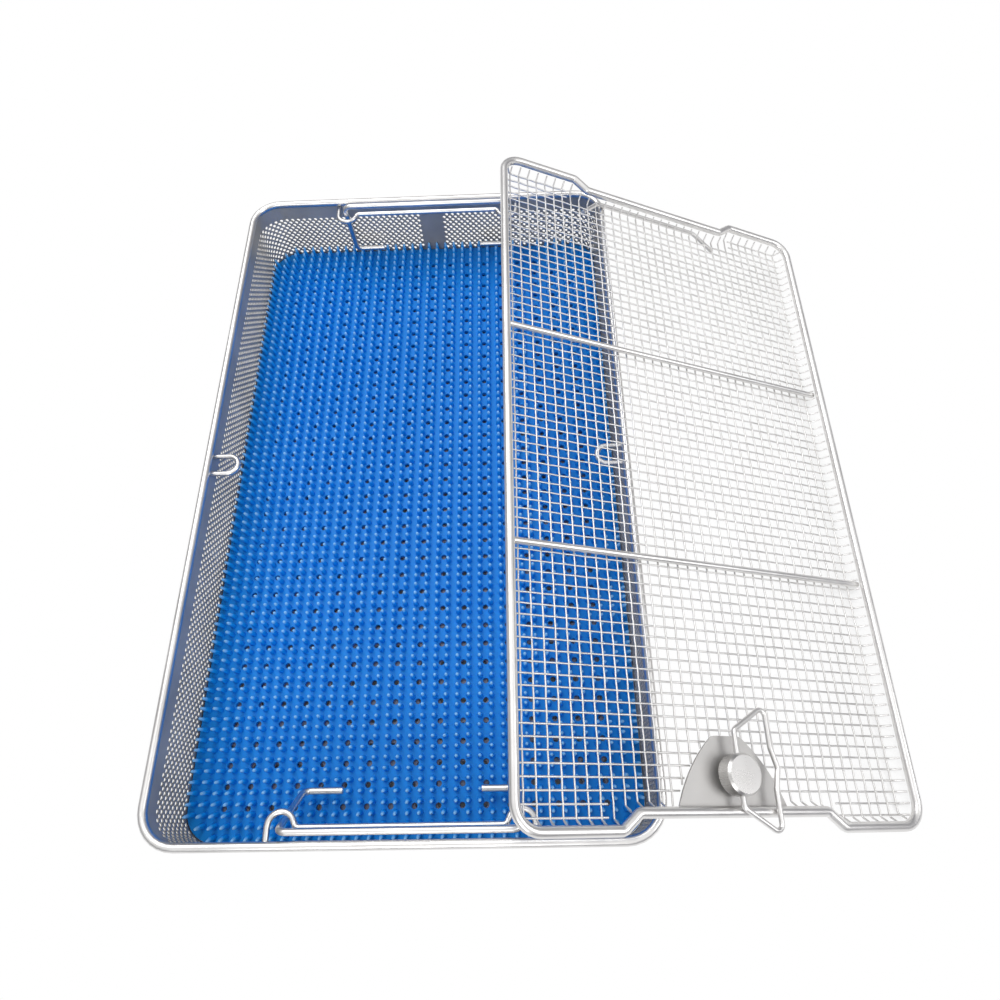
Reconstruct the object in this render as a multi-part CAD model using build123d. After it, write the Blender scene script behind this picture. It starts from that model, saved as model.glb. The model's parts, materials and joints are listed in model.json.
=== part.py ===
from build123d import *
import os
from math import asin, atan, atan2, cos, degrees, hypot, radians, sin, sqrt

# Instrument basket for a steam autoclave: a perforated sheet basket with a wire rim, two drop
# handles and a silicone finger mat, and its loose mesh lid leaning over the right-hand side.
# Millimetres. +Z up, +Y along the basket to the end with the wall seam, origin at the middle
# of the underside. The lid is drawn flat in its own axes (u across, v along, w out of its top
# face, zero at the centre of its frame wire) and then laid where it leans.

# ---- Driving dimensions: basket -------------------------------------------------------------
basket_width = 250.0          # over the rim wire
basket_length = 418.0         # over the rim wire
basket_height = 52.0          # underside to the top of the rim wire
rim_wire = 4.5                # diameter of the rim wire
rim_corner = 18.0             # corner radius of the rim at its centre line
wall_sheet = 1.0              # thickness of the wall sheet
wire_sides = 8                # flats that stand for the round of a bent wire
floor_sheet_thickness = 1.0
floor_gap = 0.2               # weld gap between the floor's edge and the wall
band_height = 10.0            # plain band under the rim
foot_band = 4.0               # plain band at the foot of the wall
seam_width = 14.5             # plain strip where the ends of the wall sheet meet
seam_offset = 2.0             # the seam's place beside the middle of the far wall
seam_line = 0.4               # width of the weld line
seam_depth = 0.3              # depth of the weld line

# Openings of the perforated walls and floor, drawn coarse
wall_hole = 8.5               # across the corners of a diamond hole
wall_rows = 3
wall_pitch = 24.0             # along the wall, between holes of one row
floor_hole = 17.0
floor_pitch = 40.0

# ---- Driving dimensions: handles and lid rests ----------------------------------------------
guide_wire = 3.0              # wire of the handle guides
guide_drop = 0.1              # between the guides and loops and the rim above them
arch_reach = 14.4             # wall face to the centre line of the arch's tip
arch_width = 12.8             # between the two legs of an arch
guide_bend = 2.5              # centre-line radius between arch and bar
bar_reach = 7.4               # wall face to the centre line of the guide's bar
handle_width = 114.0          # between the legs of a handle, centre lines
handle_over_guide = 5.9       # the top bar stands this far past the guide, along the leg
handle_wire = 3.5
handle_foot = 20.5            # leg to the end of the foot
handle_bend = 4.5
near_foot_reach = 24.9        # wall face to the near handle's foot
near_lean = 27.2              # degrees, the near handle leans outwards
far_foot_reach = 6.6
far_lean = -5.4               # degrees, the far handle leans inwards
catch_gap = 0.4               # left between a lifted foot and the guide it stops against
loop_wire = 3.0
loop_reach = 16.0             # wall face to the centre line of a side loop's tip
loop_width = 11.5
loop_offset = -3.0            # the loops' place beside the middle of the long walls

# ---- Driving dimensions: mat ----------------------------------------------------------------
mat_gap = 2.0                 # between the mat's edge and the wall
mat_sheet = 2.5               # thickness of the sheet that carries the fingers
mat_corner = 15.0
finger_height = 7.7
finger_base = 7.0
finger_columns = 17
finger_rows = 22              # every second column stands half a step further on
finger_edge = 4.75            # mat's end edge to the middle of the end row
drain_hole = 7.0
foot_gap = 0.3                # between a handle's foot and the fingers it rests on

# ---- Driving dimensions: lid ----------------------------------------------------------------
lid_wire = 5.0                # frame wire
lid_side_play = 4.35          # frame to basket wall, each side, when the lid is on
lid_end_play = 6.55           # frame to basket wall, each end, when the lid is on
lid_corner = 12.0
end_recess = 7.2              # how far the middle of each end is set back
recess_half = 53.0            # half the width of the set-back stretch
recess_step = 9.0             # length of the slanted step at each side of it
step_bend = 4.0
mesh_wire = 1.1
mesh_drop = 2.25              # the mesh is dished this much below the latch plate
mesh_pitch_across = 6.24      # between the long wires
mesh_pitch_along = 5.56       # between the cross wires
mesh_margin = 4.0             # the mesh turns up to the frame over this width
frame_touch = 1.9             # a mesh wire's end lies this far inside the frame's centre line
crossbar_wire = 3.6
crossbar_inset = 126.5        # end of the lid to a crossbar, to the nearest gap in the mesh
hook_wire = 3.0
hook_half = 39.0              # half the length of the hook's bar
hook_flare = 13.0
hook_row = 3                  # the hook's ends are welded under this cross wire from the end
hook_drop = 2.0               # the hook's bar hangs this much under its welded ends
hook_inset = 2.2              # end of the lid back to the hook's bar
hook_bend = 5.0
lid_stand = 139.85            # the lid's low edge stands this far out from the rim
lid_offset = -5.3             # along the basket
rest_gap = 0.1                # between the lid and what it rests on

# ---- Driving dimensions: latch --------------------------------------------------------------
latch_inset = 16.0            # set-back frame wire to the knob's axis
plate_sheet = 1.0
plate_half_base = 31.5
plate_half_top = 8.0
plate_depth = 34.0            # set-back frame wire to the plate's inner end
plate_swell = 3.5             # how far the plate's sides bow out
plate_corner = 5.0
plate_tuck = 2.0              # the mesh runs this far in under the plate
neck_radius = 4.0
knob_radius = 9.5
knob_height = 8.0
knob_bevel = 1.0
spindle_radius = 2.5
spindle_gap = 0.2
tongue_sheet = 1.2
tongue_reach = 22.5
tongue_width = 9.0
tongue_turn = -30.0           # degrees, the tongue's direction while the latch is open
bail_wire = 2.6
bail_half_run = 17.2          # half the straight run through the knob
bail_half_bar = 29.4          # half the outer bar
bail_reach = 20.0             # run to outer bar
bail_kink = 2.7               # the outer bar's middle stands this much further out
bail_kink_half = 9.5          # half the length of the kinked stretch
bail_kink_bend = 4.0
bail_bend = 3.0
bail_slip = 3.0               # the bail sits this far off centre in the knob
bail_gap = 0.15
bail_clear = 0.45             # between the bail and the frame wire it passes over
bail_depth = 0.42             # the bail's place up the knob's head, as a share of it

# ---- Derived places -------------------------------------------------------------------------
rim_radius = rim_wire / 2
rim_x = basket_width / 2 - rim_radius
rim_y = basket_length / 2 - rim_radius
rim_z = basket_height - rim_radius
wall_top = rim_z - rim_radius
face_x = rim_x - wall_sheet / 2
face_y = rim_y - wall_sheet / 2
mat_base = floor_sheet_thickness
mat_top = mat_base + mat_sheet
finger_top = mat_top + finger_height
foot_height = finger_top + handle_wire / 2 + foot_gap
guide_height = wall_top - guide_drop - guide_wire / 2
loop_height = wall_top - guide_drop - loop_wire / 2
handle_leg = (guide_height - foot_height) / cos(radians(near_lean)) + handle_over_guide

lid_half_u = face_x - lid_side_play - lid_wire
lid_half_v = face_y - lid_end_play - lid_wire / 2
recess_v = lid_half_v - end_recess
latch_place = recess_v - latch_inset
plate_top_place = recess_v - plate_depth
hook_reach = lid_half_v - hook_inset
lid_foot = rim_x + lid_stand
frame_radius = lid_wire / 2
plate_w = -frame_radius                         # the plate lies under the frame
plate_under = plate_w - plate_sheet
mesh_top = plate_under - mesh_drop
long_wire_w = mesh_top - mesh_wire / 2
cross_wire_w = long_wire_w - mesh_wire
mesh_bottom = cross_wire_w - mesh_wire / 2
hook_w = mesh_bottom - hook_wire / 2


def swept_wire(path, diameter):
    """A wire along a path, its round drawn with a few flats."""
    section = Plane(origin=path @ 0, z_dir=path % 0) * RegularPolygon(diameter / 2, wire_sides)
    return sweep(section, path=path)


def wire_along(points, radii, diameter, closed=False):
    """A wire bent along straight runs and tangent arcs."""
    return swept_wire(FilletPolyline(*points, radius=radii, close=closed).wire(), diameter)


def rounded_block(half_x, half_y, corner, bottom, height):
    """An upright block with rounded corners, about the Z axis."""
    return Pos(0, 0, bottom) * extrude(RectangleRounded(2 * half_x, 2 * half_y, corner), height)


def centred_steps(length, pitch):
    """Evenly pitched places, centred, that fit inside a length."""
    count = max(int(length / pitch) + 1, 1)
    return [(index - (count - 1) / 2) * pitch for index in range(count)]


def diamond(size):
    """A square hole standing on its corner."""
    return Rot(0, 0, 45) * Rectangle(size / sqrt(2), size / sqrt(2))


# ---- Basket ---------------------------------------------------------------------------------
def hole_rows(length, keep_out=None):
    """Staggered places of the wall holes: along the wall and up it."""
    top = wall_top - band_height
    row_height = (top - foot_band - wall_hole) / (wall_rows - 1)
    places = []
    for row in range(wall_rows):
        height = foot_band + wall_hole / 2 + row * row_height
        stagger = wall_pitch / 2 if row % 2 else 0.0
        for step in centred_steps(length - 2 * wall_pitch, wall_pitch):
            along = step + stagger
            if keep_out is None or abs(along - keep_out) > (seam_width + wall_hole) / 2:
                places.append((along, height))
    return places


def make_side_wall():
    corner = rim_corner + wall_sheet / 2
    ring = rounded_block(face_x + wall_sheet, face_y + wall_sheet, corner, 0, wall_top)
    ring -= rounded_block(face_x, face_y, corner - wall_sheet, 0, wall_top)
    side_face = Plane(origin=(0, 0, 0), x_dir=(0, 1, 0), z_dir=(1, 0, 0))
    end_face = Plane(origin=(0, 0, 0), x_dir=(-1, 0, 0), z_dir=(0, 1, 0))
    straight_y = 2 * (rim_y - rim_corner)
    straight_x = 2 * (rim_x - rim_corner)
    side_holes = [side_face * Pos(along, up) * diamond(wall_hole)
                  for along, up in hole_rows(straight_y)]
    end_holes = [end_face * Pos(-along, up) * diamond(wall_hole)
                 for along, up in hole_rows(straight_x, seam_offset)]
    ring -= [extrude(hole, basket_width, both=True) for hole in side_holes]
    ring -= [extrude(hole, basket_length, both=True) for hole in end_holes]
    weld = Pos(seam_offset, face_y, wall_top / 2) * Box(seam_line, 2 * seam_depth, 2 * wall_top)
    return ring - weld


def make_floor_sheet():
    half_x = face_x - floor_gap
    half_y = face_y - floor_gap
    corner = rim_corner - wall_sheet / 2 - floor_gap
    sheet = rounded_block(half_x, half_y, corner, 0, floor_sheet_thickness)
    holes = []
    for y in centred_steps(2 * half_y - floor_pitch, floor_pitch):
        for x in centred_steps(2 * half_x - floor_pitch, floor_pitch):
            holes.append(Pos(x, y) * extrude(diamond(floor_hole), floor_sheet_thickness))
    return sheet - holes


def make_rim_wire():
    path = (Pos(0, 0, rim_z) * RectangleRounded(2 * rim_x, 2 * rim_y, rim_corner)).wire()
    return swept_wire(path, rim_wire)


def make_handle_guide(end):
    """The guide of one end: a bar along the wall with an arch at each end of it."""
    wall = face_y
    leg_x = handle_width / 2 + arch_width / 2
    bar_x = handle_width / 2 - arch_width / 2
    tip = wall - arch_reach
    bar = wall - bar_reach
    arch_bend = arch_width / 2 - 0.05
    points = [(-leg_x, wall), (-leg_x, tip), (-bar_x, tip), (-bar_x, bar),
              (bar_x, bar), (bar_x, tip), (leg_x, tip), (leg_x, wall)]
    radii = [arch_bend, arch_bend, guide_bend, guide_bend, arch_bend, arch_bend]
    placed = [(x, end * y, guide_height) for x, y in points]
    return wire_along(placed, radii, guide_wire)


def make_handle(end, foot_reach, lean):
    """A drop handle: top bar, two legs down through the arches, feet turned in under the bar."""
    half = handle_width / 2
    points = [(-half + handle_foot, 0), (-half, 0), (-half, handle_leg),
              (half, handle_leg), (half, 0), (half - handle_foot, 0)]
    wire = wire_along([(x, 0, z) for x, z in points], [handle_bend] * 4, handle_wire)
    return Pos(0, end * (face_y - foot_reach), foot_height) * Rot(-end * lean, 0, 0) * wire


def make_side_loop(side):
    """A bent wire that stands in from a long wall and carries the lid's edge."""
    wall = face_x
    low = loop_offset - loop_width / 2
    high = loop_offset + loop_width / 2
    bend = loop_width / 2 - 0.05
    points = [(wall, low), (wall - loop_reach, low), (wall - loop_reach, high), (wall, high)]
    placed = [(side * x, y, loop_height) for x, y in points]
    return wire_along(placed, [bend, bend], loop_wire)


# ---- Mat ------------------------------------------------------------------------------------
def make_finger_mat():
    half_x = face_x - mat_gap
    half_y = face_y - mat_gap
    mat = rounded_block(half_x, half_y, mat_corner, mat_base, mat_sheet)
    pitch_x = 2 * half_x / finger_columns
    pitch_y = 2 * (half_y - finger_edge) / (finger_rows - 1)
    spike = loft([Rectangle(finger_base, finger_base).face(), Vertex(0, 0, finger_height)])
    fingers = []
    holes = []
    for column in range(finger_columns):
        for row in range(finger_rows):
            x = (column - (finger_columns - 1) / 2) * pitch_x
            y = (row - (finger_rows - 1) / 2) * pitch_y
            y += 0.0 if column % 2 else pitch_y / 2
            if y > half_y - finger_edge / 2:
                continue
            fingers.append(Pos(x, y, mat_top) * spike)
            if column % 4 == 1 and row % 4 == 1:
                hole = extrude(diamond(drain_hole), mat_sheet)
                holes.append(Pos(x, y + pitch_y / 2, mat_base) * hole)
    return mat + fingers - holes


# ---- Lid ------------------------------------------------------------------------------------
long_places = centred_steps(2 * (lid_half_u - frame_touch - mesh_margin), mesh_pitch_across)
cross_places = centred_steps(2 * lid_half_v - 3 * frame_radius, mesh_pitch_along)
crossbar_gap = min(range(1, len(cross_places)),
                   key=lambda index: abs(cross_places[index] - lid_half_v + crossbar_inset))
crossbar_place = (cross_places[crossbar_gap - 1] + cross_places[crossbar_gap]) / 2
crossbar_room = (crossbar_wire + mesh_wire) / 2 + rest_gap
cross_places = [v for v in cross_places if abs(abs(v) - crossbar_place) > crossbar_room]


def frame_reach(u):
    """Distance from the lid's middle to the centre line of its end, at a place across it."""
    across = abs(u)
    if across <= recess_half:
        return recess_v
    if across < recess_half + recess_step:
        return recess_v + end_recess * (across - recess_half) / recess_step
    corner_start = lid_half_u - lid_corner
    if across <= corner_start:
        return lid_half_v
    return lid_half_v - lid_corner + sqrt(max(lid_corner ** 2 - (across - corner_start) ** 2, 0))


def make_lid_frame():
    step_end = recess_half + recess_step
    quarter = [(step_end, lid_half_v), (lid_half_u, lid_half_v)]
    right_far = [(recess_half, recess_v)] + quarter
    right_near = [(u, -v) for u, v in reversed(right_far)]
    left_near = [(-u, -v) for u, v in right_far]
    left_far = [(-u, v) for u, v in reversed(right_far)]
    corners = right_far + right_near + left_near + left_far
    radii = {lid_half_u: lid_corner}
    outline = FilletPolyline(*corners, close=True,
                             radius=[radii.get(abs(u), step_bend) for u, v in corners])
    return swept_wire(outline.wire(), lid_wire)


def make_crossbar(place):
    """A straight wire across the mesh, butted between the frame's long sides."""
    height = mesh_top + crossbar_wire / 2
    inside = lid_half_u - frame_touch
    plane = Plane(origin=(-inside, place, height), z_dir=(1, 0, 0))
    return extrude(plane * Circle(crossbar_wire / 2), 2 * inside)


def bent_strip(start, end, flat, start_up, end_up, plane, rise=mesh_margin):
    """One mesh wire, square in section: flat, and turned up to the frame at either end."""
    half = mesh_wire / 2
    line = []
    if start_up:
        line.append((start, start_up))
        line.append((start + rise, flat))
    else:
        line.append((start, flat))
    if end_up:
        line.append((end - rise, flat))
        line.append((end, end_up))
    else:
        line.append((end, flat))
    upper = [(along, up + half) for along, up in line]
    lower = [(along, up - half) for along, up in reversed(line)]
    return extrude(plane * make_face(Polyline(*upper, *lower, close=True)), half, both=True)


def plate_half_width(v):
    """Half the latch plate's width at a distance from the lid's middle, or zero off the plate."""
    if v > -plate_top_place or v < -recess_v:
        return 0.0
    share = (-plate_top_place - v) / (recess_v - plate_top_place)
    straight = plate_half_top + (plate_half_base - plate_half_top) * share
    return straight + 4 * plate_swell * share * (1 - share)


def plate_edge(u):
    """Where the plate's outline crosses a long wire at u, or None beside the plate."""
    if abs(u) >= plate_half_base + mesh_wire:
        return None
    v = -plate_top_place
    while plate_half_width(v) < abs(u) + plate_tuck and v > -recess_v:
        v -= 0.25
    return min(v, -plate_top_place - plate_tuck)


frame_touch_w = -sqrt((frame_radius + mesh_wire / 2) ** 2 - frame_touch ** 2)


def frame_side(v):
    """Distance from the lid's middle to the centre line of its side, at a place along it."""
    past = max(abs(v) - (lid_half_v - lid_corner), 0)
    return lid_half_u - lid_corner + sqrt(lid_corner ** 2 - past ** 2)



def make_long_wires():
    wires = []
    for u in long_places:
        plane = Plane(origin=(u, 0, 0), x_dir=(0, 1, 0), z_dir=(1, 0, 0))
        left = frame_reach(u - mesh_wire / 2)
        right = frame_reach(u + mesh_wire / 2)
        slope = (left - right) / mesh_wire
        reach = min(left, right) - frame_touch * hypot(1, slope)
        edge = plate_edge(u)
        start = -reach if edge is None else max(edge, -reach)
        start_up = frame_touch_w if edge is None else None
        wires.append(bent_strip(start, reach, long_wire_w, start_up, frame_touch_w, plane))
    return Compound(wires)


def make_cross_wires():
    wires = []
    lobe = recess_half + recess_step + frame_radius
    for v in cross_places:
        side = frame_side(v) - frame_touch
        rise = min(mesh_margin, side - long_places[-1] - mesh_wire / 2)
        plane = Plane(origin=(0, v, 0), x_dir=(1, 0, 0), z_dir=(0, -1, 0))
        inner = plate_half_width(v) - plate_tuck
        if abs(v) > recess_v - frame_touch - mesh_margin:
            inner = lobe
        if inner <= 0:
            spans = [(-side, side, frame_touch_w, frame_touch_w)]
        else:
            spans = [(-side, -inner, frame_touch_w, None), (inner, side, None, frame_touch_w)]
        for start, end, start_up, end_up in spans:
            wires.append(bent_strip(start, end, cross_wire_w, start_up, end_up, plane, rise))
    return Compound(wires)


def make_hook_wire():
    """The bar under the lid's far end, with its ends turned back under the mesh."""
    back = cross_places[-hook_row] - mesh_wire / 2
    low = hook_w - hook_drop
    points = [(-hook_half - hook_flare, back, hook_w), (-hook_half, hook_reach, low),
              (hook_half, hook_reach, low), (hook_half + hook_flare, back, hook_w)]
    return wire_along(points, [hook_bend] * 2, hook_wire)


# ---- Latch ----------------------------------------------------------------------------------
def make_latch_plate():
    base = -recess_v
    top = -plate_top_place
    middle = (base + top) / 2
    bow = (plate_half_top + plate_half_base) / 2 + plate_swell
    with BuildSketch(Plane.XY.offset(plate_under)) as outline:
        with BuildLine():
            Line((-plate_half_base, base), (plate_half_base, base))
            ThreePointArc((plate_half_base, base), (bow, middle), (plate_half_top, top))
            Line((plate_half_top, top), (-plate_half_top, top))
            ThreePointArc((-plate_half_top, top), (-bow, middle), (-plate_half_base, base))
        make_face()
        upper = outline.vertices().filter_by(lambda corner: corner.Y > middle)
        fillet(upper, plate_corner)
    plate = extrude(outline.sketch, plate_sheet)
    bore = Pos(0, -latch_place, plate_under) * Cylinder(
        spindle_radius + spindle_gap, 4 * plate_sheet)
    return plate - bore


knob_base = plate_w + spindle_gap
bail_w = frame_radius + bail_clear + bail_wire / 2
head_base = bail_w - bail_depth * knob_height
knob_top = head_base + knob_height
tongue_top = plate_under - spindle_gap


def make_latch_knob():
    """Turned knob: head, neck and the spindle that passes down through the plate."""
    profile = [(0, tongue_top - tongue_sheet), (spindle_radius, tongue_top - tongue_sheet),
               (spindle_radius, knob_base), (neck_radius, knob_base), (neck_radius, head_base),
               (knob_radius, head_base), (knob_radius, knob_top - knob_bevel),
               (knob_radius - knob_bevel, knob_top), (0, knob_top)]
    face = make_face(Plane.XZ * Polyline(*profile, close=True))
    knob = revolve(face, Axis.Z)
    bore = Plane(origin=(0, 0, bail_w), z_dir=(0, 1, 0)) * Circle(bail_wire / 2 + bail_gap)
    knob -= extrude(bore, 2 * knob_radius, both=True)
    return Pos(0, -latch_place, 0) * knob


def make_latch_tongue():
    """Flat tongue riveted on the spindle under the plate; it turns out beneath the guide bar."""
    end = Pos(tongue_reach - tongue_width / 2, 0) * Circle(tongue_width / 2)
    shape = Circle(tongue_width / 2) + end
    shape += Pos((tongue_reach - tongue_width / 2) / 2, 0) * Rectangle(
        tongue_reach - tongue_width / 2, tongue_width)
    shape -= Circle(spindle_radius)
    turned = Pos(0, -latch_place, tongue_top - tongue_sheet) * Rot(0, 0, tongue_turn)
    return turned * extrude(shape, tongue_sheet)


def make_latch_bail():
    """Folding finger wire: a straight run through the knob and a wider loop beside it."""
    middle = -latch_place + bail_slip
    side = [(bail_reach, bail_half_bar), (bail_reach, bail_kink_half)]
    outer = side + [(bail_reach + bail_kink, 0)] + [(u, -v) for u, v in reversed(side)]
    corners = [(0, -bail_half_run), (0, bail_half_run)] + outer
    bends = [bail_bend] * 3 + [bail_kink_bend] * 3 + [bail_bend]
    path = FilletPolyline(*[(u, middle + v, bail_w) for u, v in corners], radius=bends, close=True)
    return swept_wire(path.wire(), bail_wire)


# ---- Where the lid leans --------------------------------------------------------------------
# The lid rests on the basket's right-hand rim: its mesh at the near end and its hook at the
# far end, which lifts the far end a little. Its low corner stands on the table.
mesh_end = recess_v - frame_touch - mesh_margin
pitch_angle = atan((hook_wire + hook_drop) / (hook_reach + mesh_end))
under = -mesh_bottom * cos(pitch_angle) + mesh_end * sin(pitch_angle)
corner_drop = lid_half_v * sin(pitch_angle)
rise = rim_z - frame_radius
run = lid_foot - rim_x
lean_angle = atan2(rise, run) + asin(
    (under + rim_radius + rest_gap - corner_drop) / hypot(rise, run))
lid_x = lid_foot - lid_half_u * cos(lean_angle) + corner_drop * sin(lean_angle)
lid_z = frame_radius + lid_half_u * sin(lean_angle) + corner_drop * cos(lean_angle)
lid_place = (Pos(lid_x, lid_offset, lid_z) * Rot(0, degrees(lean_angle), 0)
             * Rot(degrees(pitch_angle), 0, 0))


def handle_travel(lean):
    """How far a handle lifts before its feet stop under the guide."""
    clear = (guide_wire + handle_wire) / 2 + catch_gap
    return (guide_height - foot_height - clear) / cos(radians(lean))


basket = {
    "side_wall": make_side_wall(),
    "floor_sheet": make_floor_sheet(),
    "rim_wire": make_rim_wire(),
    "near_handle_guide": make_handle_guide(-1),
    "far_handle_guide": make_handle_guide(1),
    "near_handle": make_handle(-1, near_foot_reach, near_lean),
    "far_handle": make_handle(1, far_foot_reach, far_lean),
    "left_side_loop": make_side_loop(-1),
    "right_side_loop": make_side_loop(1),
    "finger_mat": make_finger_mat(),
}
lid = {
    "lid_frame": make_lid_frame(),
    "lid_crossbar_far": make_crossbar(crossbar_place),
    "lid_crossbar_near": make_crossbar(-crossbar_place),
    "lid_long_wires": make_long_wires(),
    "lid_cross_wires": make_cross_wires(),
    "lid_hook_wire": make_hook_wire(),
    "latch_plate": make_latch_plate(),
    "latch_knob": make_latch_knob(),
    "latch_tongue": make_latch_tongue(),
    "latch_bail": make_latch_bail(),
}

os.makedirs("parts", exist_ok=True)
for name, shape in basket.items():
    export_step(shape, f"parts/{name}.step")
for name, shape in lid.items():
    export_step(lid_place * shape, f"parts/{name}.step")

if __name__ == "__main__":
    print("lid lean", round(degrees(lean_angle), 3), "pitch", round(degrees(pitch_angle), 3),
          "centre", round(lid_x, 3), lid_offset, round(lid_z, 3))
    print("near handle travel", round(handle_travel(near_lean), 2),
          "far", round(handle_travel(far_lean), 2))
    knob_at = lid_place * Pos(0, -latch_place, bail_w)
    print("knob and bail axes cross at", knob_at.position)
    for name, direction in (("u", (1, 0, 0)), ("v", (0, 1, 0)), ("w", (0, 0, 1))):
        tip = (lid_place * Pos(*direction)).position - lid_place.position
        print("lid", name, "axis", tip)
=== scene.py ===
import json
import logging
import math
from dataclasses import dataclass, field
from enum import Enum
from typing import Any, Callable, Iterable, Optional, Sequence, Union

import bpy
from mathutils import Matrix, Vector


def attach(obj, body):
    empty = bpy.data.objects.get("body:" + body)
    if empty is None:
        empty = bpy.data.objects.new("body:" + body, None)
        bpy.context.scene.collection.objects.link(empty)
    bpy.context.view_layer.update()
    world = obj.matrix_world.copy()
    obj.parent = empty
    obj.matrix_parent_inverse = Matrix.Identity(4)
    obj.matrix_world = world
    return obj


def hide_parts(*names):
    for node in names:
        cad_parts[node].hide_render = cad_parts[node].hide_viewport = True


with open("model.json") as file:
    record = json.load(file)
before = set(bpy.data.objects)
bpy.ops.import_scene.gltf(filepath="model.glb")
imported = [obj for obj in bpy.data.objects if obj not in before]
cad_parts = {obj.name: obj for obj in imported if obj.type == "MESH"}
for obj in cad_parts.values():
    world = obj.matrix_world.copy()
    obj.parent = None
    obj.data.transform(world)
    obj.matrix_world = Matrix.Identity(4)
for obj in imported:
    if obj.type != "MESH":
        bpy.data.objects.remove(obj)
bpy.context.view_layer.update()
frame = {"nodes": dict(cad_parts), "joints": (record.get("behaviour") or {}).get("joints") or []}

MM = 0.001
LOG = logging.getLogger("autoclave_basket")

Number = Union[int, float]
Point = tuple[float, float, float]


class Material(Enum):
    """The finishes the basket is made in."""

    WIRE = "polished_wire"
    FRAME = "lid_frame_wire"
    WEAVE = "woven_wire"
    WALL = "perforated_wall"
    FLOOR = "perforated_floor_painted_shade"
    PLATE = "satin_plate"
    LATCH = "turned_latch"
    SILICONE = "blue_silicone"
    GROUND = "white_ground"


class Maths(Enum):
    """Operations of a Math node that the expressions use."""

    ADD = "ADD"
    SUBTRACT = "SUBTRACT"
    MULTIPLY = "MULTIPLY"
    DIVIDE = "DIVIDE"
    POWER = "POWER"
    SINE = "SINE"
    COSINE = "COSINE"
    ROUND = "ROUND"
    ABSOLUTE = "ABSOLUTE"
    LESS = "LESS_THAN"
    GREATER = "GREATER_THAN"
    MODULO = "FLOORED_MODULO"
    MINIMUM = "MINIMUM"
    MAXIMUM = "MAXIMUM"


class Value:
    """A node's output socket that Python's operators work on."""

    def __init__(self, graph: "Graph", socket: bpy.types.NodeSocket) -> None:
        """Keep the graph and the socket.

        Args:
            graph: The graph that new Math nodes go into.
            socket: The output that this value stands for.
        """
        self.graph = graph
        self.socket = socket

    def __add__(self, other: "Operand") -> "Value":
        """Sum."""
        return self.graph.maths(Maths.ADD, self, other)

    def __radd__(self, other: Number) -> "Value":
        """Sum with a number on the left."""
        return self.graph.maths(Maths.ADD, other, self)

    def __sub__(self, other: "Operand") -> "Value":
        """Difference."""
        return self.graph.maths(Maths.SUBTRACT, self, other)

    def __rsub__(self, other: Number) -> "Value":
        """Difference from a number on the left."""
        return self.graph.maths(Maths.SUBTRACT, other, self)

    def __mul__(self, other: "Operand") -> "Value":
        """Product."""
        return self.graph.maths(Maths.MULTIPLY, self, other)

    def __rmul__(self, other: Number) -> "Value":
        """Product with a number on the left."""
        return self.graph.maths(Maths.MULTIPLY, other, self)

    def __truediv__(self, other: "Operand") -> "Value":
        """Quotient."""
        return self.graph.maths(Maths.DIVIDE, self, other)

    def __rtruediv__(self, other: Number) -> "Value":
        """Quotient of a number on the left."""
        return self.graph.maths(Maths.DIVIDE, other, self)

    def __mod__(self, other: "Operand") -> "Value":
        """Remainder that is never negative."""
        return self.graph.maths(Maths.MODULO, self, other)

    def __lt__(self, other: "Operand") -> "Value":
        """One where this value is the smaller."""
        return self.graph.maths(Maths.LESS, self, other)

    def __gt__(self, other: "Operand") -> "Value":
        """One where this value is the larger."""
        return self.graph.maths(Maths.GREATER, self, other)

    def __neg__(self) -> "Value":
        """Opposite."""
        return self.graph.maths(Maths.MULTIPLY, self, -1.0)

    def __abs__(self) -> "Value":
        """Size without sign."""
        return self.graph.maths(Maths.ABSOLUTE, self)


Operand = Union[Value, Number]


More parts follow.
